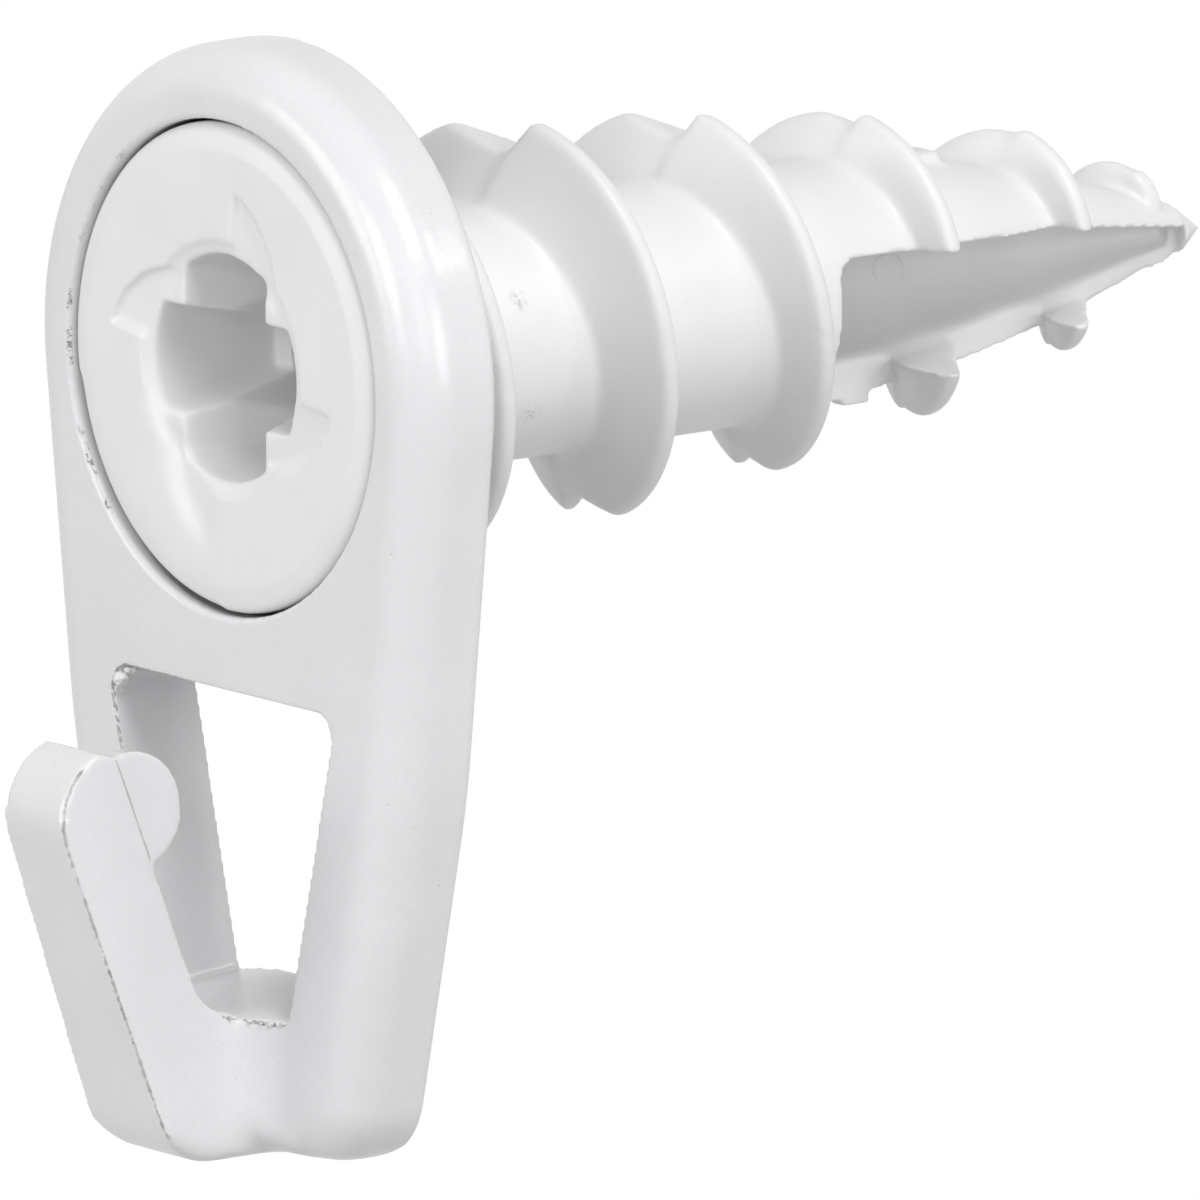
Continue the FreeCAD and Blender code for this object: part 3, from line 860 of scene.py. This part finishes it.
@dataclass
class CoatingCrumbs:
    """Rough lumps of coating that stuck to an edge of the casting."""

    name: str
    crumbs: tuple[Crumb, ...]
    fineness: float = 0.16
    depth: float = 0.2
    nose_slant: float = 0.4
    nose_limit: float = 0.85
    nose_move: Place = (0.35, 0.0, 0.2)
    nose_size: Place = (0.7, 0.6, 0.7)

    def lump(self) -> bpy.types.Object:
        """Models one uneven lump with a radius of a millimetre.

        Returns:
            The lump.
        """
        bpy.ops.object.select_all(action="DESELECT")
        bpy.ops.mesh.primitive_ico_sphere_add(subdivisions=4, radius=MM, location=(0.0, 0.0, 0.0))
        lump = bpy.context.active_object
        bpy.ops.object.mode_set(mode="EDIT")
        bpy.ops.mesh.select_mode(type="FACE")
        bpy.ops.mesh.select_all(action="DESELECT")
        bpy.ops.object.mode_set(mode="OBJECT")
        for face in lump.data.polygons:
            face.select = face.normal.x + self.nose_slant * face.normal.z > self.nose_limit
        bpy.ops.object.mode_set(mode="EDIT")
        move = {"value": tuple(Vector(self.nose_move) * MM)}
        bpy.ops.mesh.extrude_region_move(TRANSFORM_OT_translate=move)
        bpy.ops.transform.resize(value=self.nose_size)
        bpy.ops.object.mode_set(mode="OBJECT")
        return lump

    def build(self, finish: bpy.types.Material) -> None:
        """Copies the lump to each place, roughens the copies and joins them.

        Args:
            finish: The coating's material.
        """
        lump = self.lump()
        grit = bpy.data.textures.new(self.name + "_grit", "CLOUDS")
        grit.noise_scale = self.fineness * MM
        grit.noise_depth = 3
        copies = []
        for crumb in self.crumbs:
            mesh = lump.data.copy()
            size = Matrix.Diagonal(Vector(crumb.size)).to_4x4()
            mesh.transform(Matrix.Translation(Vector(crumb.centre) * MM) @ size)
            copy = bpy.data.objects.new(self.name, mesh)
            bpy.context.scene.collection.objects.link(copy)
            select_only([copy])
            settings = {"texture": grit, "strength": self.depth * MM, "mid_level": 0.5}
            apply_modifier(copy, "grit", ModifierKind.DISPLACE, settings)
            copies.append(copy)
        bpy.data.objects.remove(lump)
        select_only(copies)
        bpy.ops.object.join()
        crumbs = bpy.context.view_layer.objects.active
        crumbs.name = self.name
        bpy.ops.object.shade_smooth()
        crumbs.data.materials.clear()
        crumbs.data.materials.append(finish)
        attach(crumbs, Body.HOOK.value)
        LOG.info("made %s", crumbs.name)


CORNER_BURR = CoatingCrumbs(
    name="window_corner_burr",
    crumbs=(
        Crumb((-5.52, -3.12, -10.86), (0.30, 0.26, 0.28)),
        Crumb((-5.15, -3.05, -10.58), (0.22, 0.2, 0.13)),
        Crumb((-5.68, -3.1, -11.25), (0.12, 0.18, 0.2)),
    ),
)
SEAT_CRUMBS = CoatingCrumbs(
    name="seat_edge_crumbs",
    crumbs=(
        Crumb((1.98, -4.5, -20.58), (0.09, 0.09, 0.06)),
        Crumb((2.24, -3.95, -20.72), (0.12, 0.1, 0.08)),
        Crumb((2.52, -3.68, -20.78), (0.08, 0.08, 0.06)),
        Crumb((2.78, -3.5, -20.8), (0.13, 0.1, 0.09)),
        Crumb((3.12, -3.36, -20.8), (0.1, 0.09, 0.08)),
        Crumb((3.28, -3.32, -20.74), (0.06, 0.06, 0.05)),
    ),
    fineness=0.08,
    depth=0.1,
)


@dataclass
class HookBody:
    """The cast hook body with its coating, its worn edge and its crumbs."""

    finish: CoatedCasting = field(default_factory=CoatedCasting)
    crumbs: tuple[CoatingCrumbs, ...] = (CORNER_BURR, SEAT_CRUMBS)
    edge_passes: int = 3
    flare_passes: int = 110
    flare_top: float = -20.7
    flare_sides: tuple[float, float] = (1.5, 5.6)
    flare_front: float = -7.0
    arm_side: float = 1.2
    arm_foot: float = -6.0
    worn_reach: float = 0.16
    worn_depth: float = 0.16
    worn_grain: float = 0.22
    worn_edge: list[Vector] = field(init=False)

    def __post_init__(self) -> None:
        """Works out the arm's front edge in millimetres."""
        self.worn_edge = [point / MM for point in ArmEdge().front()]

    def flare_share(self, place: Vector) -> float:
        """How much the arm's root is blended into the plate.

        Args:
            place: A point of the skin, in millimetres.

        Returns:
            The weight there.
        """
        near, far = self.flare_sides
        aside = abs(place.x)
        sides = (1.0 - step_down(aside, near, near + 0.5)) * step_down(aside, far - 1.0, far)
        low = step_down(place.z, self.flare_top - 0.5, self.flare_top)
        front = 1.0 - step_down(place.y, self.flare_front, self.flare_front + 0.8)
        return sides * low * front

    def worn_share(self, place: Vector) -> float:
        """How rough the arm's front edge is.

        Args:
            place: A point of the skin, in millimetres.

        Returns:
            The weight there.
        """
        if place.x < self.arm_side or place.y > self.arm_foot:
            return 0.0
        nearest = self.worn_reach
        for start, end in zip(self.worn_edge, self.worn_edge[1:]):
            span = end - start
            share = min(1.0, max(0.0, (place - start).dot(span) / span.length_squared))
            nearest = min(nearest, (place - start - span * share).length)
        return 1.0 - nearest / self.worn_reach

    def roughen(self, skin: Skin) -> None:
        """Breaks up the arm's worn edge.

        Args:
            skin: The casting's skin.
        """
        grit = bpy.data.textures.new("worn_grit", "CLOUDS")
        grit.noise_scale = self.worn_grain * MM
        grit.noise_depth = 2
        settings = {
            "texture": grit,
            "strength": self.worn_depth * MM,
            "mid_level": 0.55,
            "vertex_group": skin.mark("worn_edge", self.worn_share),
        }
        apply_modifier(skin.item, "worn_edge", ModifierKind.DISPLACE, settings)

    def build(self) -> None:
        """Rounds the casting's edges, roughens the worn one and adds the crumbs."""
        coating = self.finish.make()
        skin = Skin(Part.HOOK_BODY, "hook_body_coated")
        skin.start()
        skin.soften((
            Softening("edges", self.edge_passes, everywhere),
            Softening("flare", self.flare_passes, self.flare_share),
        ))
        self.roughen(skin)
        skin.finish(coating, Body.HOOK, Slot.COATED_CASTING)
        for crumbs in self.crumbs:
            crumbs.build(coating)


@dataclass
class WallAnchor:
    """The moulded anchor with its soft thread, recess and hollow."""

    finish: MouldedNylon = field(default_factory=MouldedNylon)
    core_radius: float = 4.23
    ogive_start: float = 20.0
    ogive_radius: float = 54.6
    thread_start: float = 4.3
    root_band: tuple[float, float] = (-0.5, 1.7)
    crest_start: float = 0.6
    gouge_start: float = 21.4
    gouge_end: float = 38.0
    hood_band: tuple[float, float] = (2.0, 2.9)
    pad_band: tuple[float, float] = (-2.8, -2.2)
    pad_share: float = 0.85
    lip_share: float = 0.72
    lip_start: float = 1.5
    lip_side: float = -2.4
    lip_top: float = -0.3
    recess_radii: tuple[float, float] = (4.3, 6.0)
    recess_depths: tuple[float, float] = (1.0, 2.0)
    ledge_depth: float = 4.8
    ledge_radius: float = 4.0
    ledge_bottom: float = -3.0
    ledge_top: float = -0.4
    ledge_sides: tuple[float, float] = (0.8, 1.6)
    lead_in_depth: float = 0.6
    lead_in_side: float = -0.2
    lead_in_top: float = -1.2
    lead_in_radius: float = 4.0
    rim_radius: float = 7.25
    rim_depths: tuple[float, float] = (0.7, 1.1)

    def thread_height(self, place: Vector) -> float:
        """Height of a point over the core.

        Args:
            place: A point of the skin, in millimetres.

        Returns:
            The height, in millimetres.
        """
        past = max(0.0, place.y - FRONT_Y - self.ogive_start)
        core = self.core_radius - past * past / (2 * self.ogive_radius)
        return distance_from_axis(place) - core

    def root_share(self, place: Vector) -> float:
        """How much the thread's root is filled out into the core.

        Args:
            place: A point of the skin, in millimetres.

        Returns:
            The weight there.
        """
        reach = place.y - FRONT_Y
        if reach < self.thread_start or reach > self.gouge_end:
            return 0.0
        height = self.thread_height(place)
        inner, outer = self.root_band
        if height < inner:
            return 0.0
        share = step_down(height, outer - 1.0, outer)
        if reach > self.gouge_start and place.x > 0.0:
            share *= 1.0 - step_down(place.z, *self.hood_band)
        if reach > self.gouge_start:
            share *= 1.0 - self.pad_share * step_down(place.z, *self.pad_band)
        return share

    def crest_share(self, place: Vector) -> float:
        """How much the thread's crest is rounded.

        Args:
            place: A point of the skin, in millimetres.

        Returns:
            The weight there.
        """
        if place.y - FRONT_Y < self.thread_start:
            return 0.0
        return 1.0 - step_down(self.thread_height(place), self.crest_start, 2 * self.crest_start)

    def channel_share(self, place: Vector) -> float:
        """How much the hollow's lower lip is rounded.

        Args:
            place: A point of the skin, in millimetres.

        Returns:
            The weight there.
        """
        reach = place.y - FRONT_Y
        if not self.gouge_start + self.lip_start <= reach <= self.gouge_end:
            return 0.0
        radius = distance_from_axis(place)
        lip = self.lip_share * (radius - self.thread_height(place))
        inner = step_down(radius, lip, lip + 0.3)
        low = step_down(place.z, self.lip_top - 0.6, self.lip_top)
        return low * inner * (1.0 - step_down(place.x, self.lip_side, self.lip_side + 1.2))

    def recess_share(self, place: Vector) -> float:
        """How much the driver recess is rounded at its mouth.

        Args:
            place: A point of the skin, in millimetres.

        Returns:
            The weight there.
        """
        shallow = step_down(place.y - FRONT_Y, *self.recess_depths)
        return shallow * step_down(distance_from_axis(place), *self.recess_radii)

    def ledge_share(self, place: Vector) -> float:
        """How much the ledges under the level wings are rounded.

        Args:
            place: A point of the skin, in millimetres.

        Returns:
            The weight there.
        """
        if place.y - FRONT_Y > self.ledge_depth or distance_from_axis(place) > self.ledge_radius:
            return 0.0
        below = step_down(place.z, self.ledge_top - 0.4, self.ledge_top)
        above = 1.0 - step_down(place.z, self.ledge_bottom, self.ledge_bottom + 0.5)
        return below * above * step_down(place.x, *self.ledge_sides)

    def lead_in_share(self, place: Vector) -> float:
        """How much the lower left lead-in step is worn down.

        Args:
            place: A point of the skin, in millimetres.

        Returns:
            The weight there.
        """
        if place.y - FRONT_Y > self.lead_in_depth:
            return 0.0
        if place.x > self.lead_in_side or place.z > self.lead_in_top:
            return 0.0
        radius = self.lead_in_radius
        return 1.0 - step_down(distance_from_axis(place), radius, radius + 0.3)

    def rim_share(self, place: Vector) -> float:
        """How much the head's edge is rounded.

        Args:
            place: A point of the skin, in millimetres.

        Returns:
            The weight there.
        """
        radius = self.rim_radius
        outer = 1.0 - step_down(distance_from_axis(place), radius, radius + 0.3)
        return outer * step_down(place.y - FRONT_Y, *self.rim_depths)

    def build(self) -> None:
        """Rounds the moulding's edges and gives it its surface."""
        skin = Skin(Part.WALL_ANCHOR, "wall_anchor_moulded")
        skin.start()
        skin.soften((
            Softening("edges", 3, everywhere),
            Softening("root", 24, self.root_share),
            Softening("crest", 26, self.crest_share),
            Softening("channel", 90, self.channel_share),
            Softening("recess", 5, self.recess_share),
            Softening("ledge", 14, self.ledge_share),
            Softening("lead_in", 90, self.lead_in_share),
            Softening("rim", 10, self.rim_share),
        ))
        skin.finish(self.finish.make(), Body.ANCHOR, Slot.MOULDED_NYLON)


@dataclass(frozen=True)
class SoftLamp:
    """One rectangular area lamp aimed at the object, in metres and watts."""

    name: str
    direction: Place
    power: float
    width: float = 0.25
    height: float = 0.25
    distance: float = 0.6


@dataclass
class Studio:
    """Floor, world, lamps and camera."""

    floor_height: float = -0.085
    floor_size: float = 6.0
    world_colour: Colour = (1.0, 1.0, 1.0, 1.0)
    world_strength: float = 0.3
    lamps: tuple[SoftLamp, ...] = (
        SoftLamp("back_lamp", (0.63, 0.51, 0.575), 0.3, 0.06, 0.14),
        SoftLamp("top_lamp", (0.6, -0.1, 0.8), 1.8),
        SoftLamp("side_lamp", (0.98, 0.05, 0.2), 0.8),
        SoftLamp("right_lamp", (0.8, -0.5, 0.3), 0.3),
        SoftLamp("front_lamp", (0.0, -0.97, 0.25), 0.97),
        SoftLamp("left_lamp", (-0.5, -0.85, 0.15), 0.9),
    )

    def build_floor(self) -> None:
        """Adds the floor below the object."""
        bpy.ops.object.select_all(action="DESELECT")
        place = (0.0, 0.0, self.floor_height)
        bpy.ops.mesh.primitive_plane_add(size=self.floor_size, location=place)
        floor = bpy.context.active_object
        floor.name = "floor"
        floor.data.materials.append(StudioWhite().make())
        LOG.info("added %s", floor.name)

    def build_world(self) -> None:
        """Sets the dome light, seen as white."""
        world = bpy.data.worlds.new("studio_dome")
        bpy.context.scene.world = world
        graph = ShaderGraph(world)
        path = graph.add(NodeKind.LIGHT_PATH, {}, {})
        mirrored = path["Is Glossy Ray"].at_least(path["Is Transmission Ray"])
        direct = path["Is Camera Ray"].at_least(mirrored)
        strength = direct * (1.0 - self.world_strength) + self.world_strength
        sockets = {"Color": self.world_colour, "Strength": strength}
        sky = graph.add(NodeKind.BACKGROUND, {}, sockets)[0]
        graph.add(NodeKind.WORLD_OUTPUT, {}, {"Surface": sky})

    def build_lamps(self) -> None:
        """Adds the soft lamps."""
        for lamp in self.lamps:
            data = bpy.data.lights.new(lamp.name, "AREA")
            data.shape = "RECTANGLE"
            data.size = lamp.width
            data.size_y = lamp.height
            data.energy = lamp.power
            item = bpy.data.objects.new(lamp.name, data)
            bpy.context.scene.collection.objects.link(item)
            direction = Vector(lamp.direction).normalized()
            item.location = direction * lamp.distance
            item.rotation_mode = "QUATERNION"
            item.rotation_quaternion = direction.to_track_quat("Z", "Y")
            LOG.info("added %s", lamp.name)


@dataclass(frozen=True)
class Viewpoint:
    """The photograph's camera, in degrees and metres from the centre of the head's front."""

    azimuth: float = 52.167
    elevation: float = 11.058
    roll: float = -0.161
    distance: float = 1.0146
    pixels_per_metre: float = 31465.0
    aim_right: float = 0.012085
    aim_up: float = -0.007342
    sensor: float = 36.0
    clip_start: float = 0.1
    clip_end: float = 20.0

    def build(self) -> None:
        """Adds the camera and makes it the scene's."""
        turn, tilt, roll = (math.radians(v) for v in (self.azimuth, self.elevation, self.roll))
        level_share = math.cos(tilt)
        back = Vector((math.sin(turn) * level_share, -math.cos(turn) * level_share, math.sin(tilt)))
        level = Vector((math.cos(turn), math.sin(turn), 0.0))
        upright = back.cross(level)
        right = level * math.cos(roll) + upright * math.sin(roll)
        up = upright * math.cos(roll) - level * math.sin(roll)
        data = bpy.data.cameras.new("photo_camera")
        data.sensor_width = self.sensor
        data.lens = self.pixels_per_metre * self.distance * self.sensor / PHOTO_PIXELS
        data.clip_start = self.clip_start
        data.clip_end = self.clip_end
        camera = bpy.data.objects.new("photo_camera", data)
        bpy.context.scene.collection.objects.link(camera)
        turned = Matrix((right, up, back)).transposed()
        place = back * self.distance + right * self.aim_right + up * self.aim_up
        place = place + Vector((0.0, FRONT_Y * MM, 0.0))
        camera.matrix_world = Matrix.Translation(place) @ turned.to_4x4()
        bpy.context.scene.camera = camera
        LOG.info("added %s", camera.name)


def main() -> None:
    """Dresses the object and sets the stage."""
    logging.basicConfig(level=logging.INFO, format="%(message)s")
    bpy.context.scene.view_settings.view_transform = "Standard"
    HookBody().build()
    WallAnchor().build()
    studio = Studio()
    studio.build_floor()
    studio.build_world()
    studio.build_lamps()
    Viewpoint().build()


if __name__ == "__main__":
    main()
